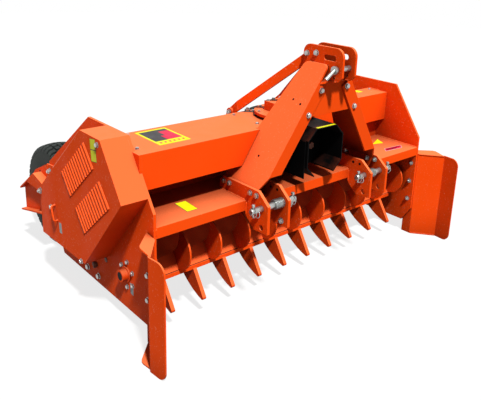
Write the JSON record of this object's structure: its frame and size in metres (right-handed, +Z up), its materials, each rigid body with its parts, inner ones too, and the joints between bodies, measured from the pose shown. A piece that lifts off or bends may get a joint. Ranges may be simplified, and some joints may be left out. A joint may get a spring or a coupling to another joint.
{
  "type": "tractor-mounted mulcher with a toothed pick-up rake",
  "caption": "Orange three-point-hitch mulcher with a hammer rotor, toothed front rake, belt guard, side wings, drive stub and two rear wheels.",
  "frame": {"origin": "on the ground, half way along the machine, in the plane half way between the side plates, which is that of the hitch and the drive stub", "axes": "+X to the right seen from the tractor side looking at the machine, -Y to the tractor, +Z up"},
  "size_m": [1.997, 1.641, 1.196],
  "materials": {
    "orange_paint": "semi-gloss powder coat",
    "shield_plastic": "matte",
    "zinc": "zinc plated",
    "dark_steel": "worn paint",
    "tyre": "matte",
    "rim_steel": "satin"
  },
  "bodies": {
    "frame": {"side_plate_left": "orange_paint", "side_plate_right": "orange_paint", "front_beam": "orange_paint", "rotor_chamber": "orange_paint", "hood_box_left": "orange_paint", "hood_box_right": "orange_paint", "pickup_rake": "orange_paint", "rake_flange_left": "orange_paint", "rake_flange_right": "orange_paint", "feed_plate": "orange_paint", "rotor_bearing_left": "orange_paint", "rotor_bearing_right": "orange_paint", "hitch_ear_left_inner": "orange_paint", "hitch_ear_left_outer": "orange_paint", "hitch_ear_right_inner": "orange_paint", "hitch_ear_right_outer": "orange_paint", "lower_link_pin_left": "zinc", "lower_link_pin_right": "zinc", "leg_left": "orange_paint", "leg_right": "orange_paint", "cross_plate": "orange_paint", "head_bracket": "orange_paint", "top_ear_left": "orange_paint", "top_ear_right": "orange_paint", "top_link_pin": "zinc", "rear_brace_left": "orange_paint", "rear_brace_right": "orange_paint", "brace_lug_left": "orange_paint", "brace_lug_right": "orange_paint", "gearbox_seat": "orange_paint", "gearbox": "orange_paint", "cross_shaft_tube": "orange_paint", "pto_shield": "shield_plastic", "belt_guard": "orange_paint", "louvre_panel_upper": "orange_paint", "louvre_panel_lower": "orange_paint", "guard_handle": "orange_paint", "wing_left": "orange_paint", "wing_right": "orange_paint", "wheel_arm_left": "orange_paint", "wheel_arm_right": "orange_paint", "axle_left": "zinc", "axle_right": "zinc"},
    "rotor": {"rotor": "dark_steel"},
    "wheel_left": {"tyre_left": "tyre", "rim_left": "rim_steel"},
    "wheel_right": {"tyre_right": "tyre", "rim_right": "rim_steel"},
    "pto_stub": {"pto_stub": "dark_steel"}
  },
  "joints": [
    {"name": "rotor_spin", "type": "hinge", "parent": "frame", "child": "rotor", "pos_m": [0, -0.06, 0.345], "axis": [1, 0, 0], "continuous": true},
    {"name": "pto_spin", "type": "hinge", "parent": "frame", "child": "pto_stub", "pos_m": [0, -0.5, 0.71], "axis": [0, 1, 0], "continuous": true},
    {"name": "wheel_left_spin", "type": "hinge", "parent": "frame", "child": "wheel_left", "pos_m": [-0.746, 0.538, 0.278], "axis": [1, 0, 0], "continuous": true},
    {"name": "wheel_right_spin", "type": "hinge", "parent": "frame", "child": "wheel_right", "pos_m": [0.746, 0.538, 0.278], "axis": [1, 0, 0], "continuous": true}
  ]
}
